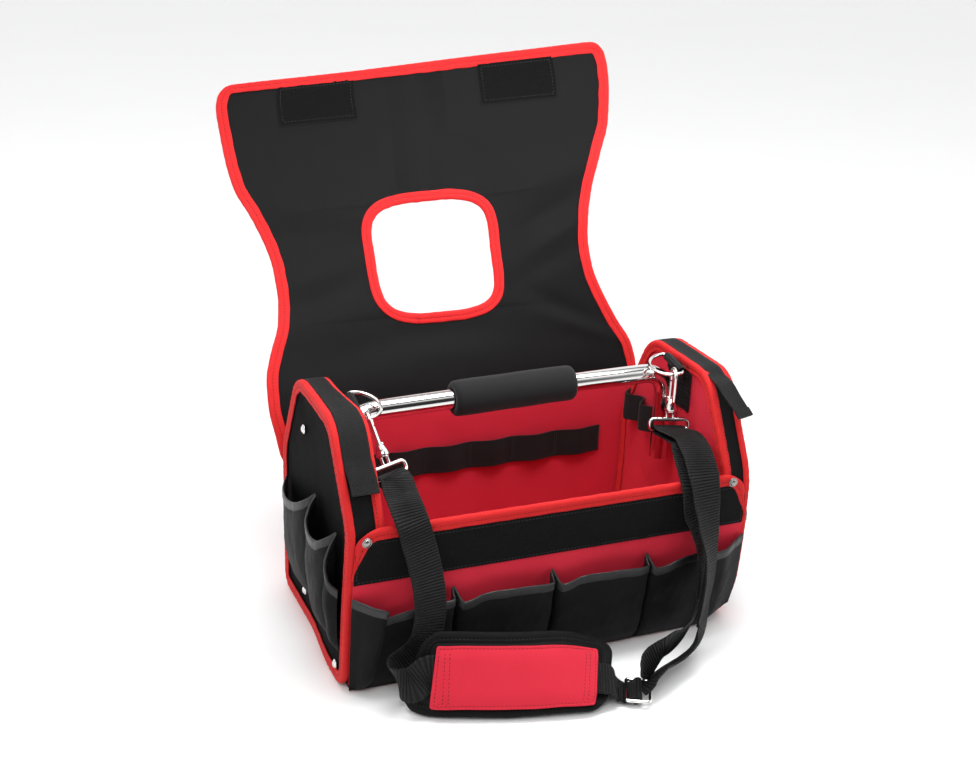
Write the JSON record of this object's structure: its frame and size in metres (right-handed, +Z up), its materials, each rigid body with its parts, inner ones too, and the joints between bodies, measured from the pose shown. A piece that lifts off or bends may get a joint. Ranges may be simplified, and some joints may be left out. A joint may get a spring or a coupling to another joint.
{
  "type": "tool bag",
  "caption": "Open-top soft tool bag with boxed ends, outside pockets, a tube handle with foam grip, a folded-open lid flap with a window and a padded clip-on shoulder strap.",
  "frame": {"origin": "centre of the bag's flat bottom face", "axes": "+X to the bag's right end seen from its front, -Y to the front with the hook-and-loop strip, +Z up"},
  "size_m": [0.4375, 0.5508, 0.5259],
  "materials": {
    "red_tape": "bright red woven binding tape, matt",
    "red_cloth": "red woven polyester, matt",
    "black_cloth": "black woven polyester, matt with a slight sheen",
    "edge_tape": "dark grey coated edge tape",
    "webbing": "black ribbed webbing",
    "loop_pile": "black hook-and-loop pile",
    "elastic": "black woven elastic",
    "foam": "black closed-cell foam, matt",
    "chrome": "bright nickel-chrome plate"
  },
  "bodies": {
    "bag": {"front_binding": "red_tape", "left_outer_binding": "red_tape", "left_inner_binding": "red_tape", "right_outer_binding": "red_tape", "right_inner_binding": "red_tape", "flap_binding": "red_tape", "window_binding": "red_tape", "front_panel": "red_cloth", "back_panel": "red_cloth", "left_inner_panel": "red_cloth", "right_inner_panel": "red_cloth", "pad_patch": "red_cloth", "base_panel": "black_cloth", "left_outer_panel": "black_cloth", "left_gusset": "black_cloth", "right_outer_panel": "black_cloth", "right_gusset": "black_cloth", "left_pockets": "black_cloth", "right_pockets": "black_cloth", "front_pockets": "black_cloth", "flap": "black_cloth", "shoulder_pad": "black_cloth", "front_pocket_edge": "edge_tape", "left_top_strap": "webbing", "right_top_strap": "webbing", "left_d_ring_tab": "webbing", "right_d_ring_tab": "webbing", "strap_left": "webbing", "strap_right": "webbing", "front_loop_strip": "loop_pile", "flap_hook_patch_left": "loop_pile", "flap_hook_patch_right": "loop_pile", "back_tool_loops": "elastic", "right_tool_loops": "elastic", "handle_grip": "foam", "handle_tube": "chrome", "left_d_ring": "chrome", "right_d_ring": "chrome", "left_hook_claw": "chrome", "right_hook_claw": "chrome", "left_hook_base": "chrome", "right_hook_base": "chrome", "slide_adjuster": "chrome", "left_rivet_top": "chrome", "left_rivet_back": "chrome", "left_rivet_front": "chrome", "left_rivet_wall": "chrome", "right_rivet_top": "chrome", "right_rivet_back": "chrome", "right_rivet_front": "chrome", "right_rivet_wall": "chrome"},
    "left_gate": {"left_hook_gate": "chrome"},
    "right_gate": {"right_hook_gate": "chrome"}
  },
  "joints": [
    {"name": "left_gate_hinge", "type": "hinge", "parent": "bag", "child": "left_gate", "pos_m": [-0.15155, -0.04149, 0.21175], "axis": [0.9071, -0.2371, 0.3478], "range_deg": [0, 25], "stiffness_Nm_per_rad": 0.02, "springref_deg": -11.46},
    {"name": "right_gate_hinge", "type": "hinge", "parent": "bag", "child": "right_gate", "pos_m": [0.15852, -0.02778, 0.21534], "axis": [0.9639, -0.2628, -0.044], "range_deg": [0, 25], "stiffness_Nm_per_rad": 0.02, "springref_deg": -11.46}
  ]
}
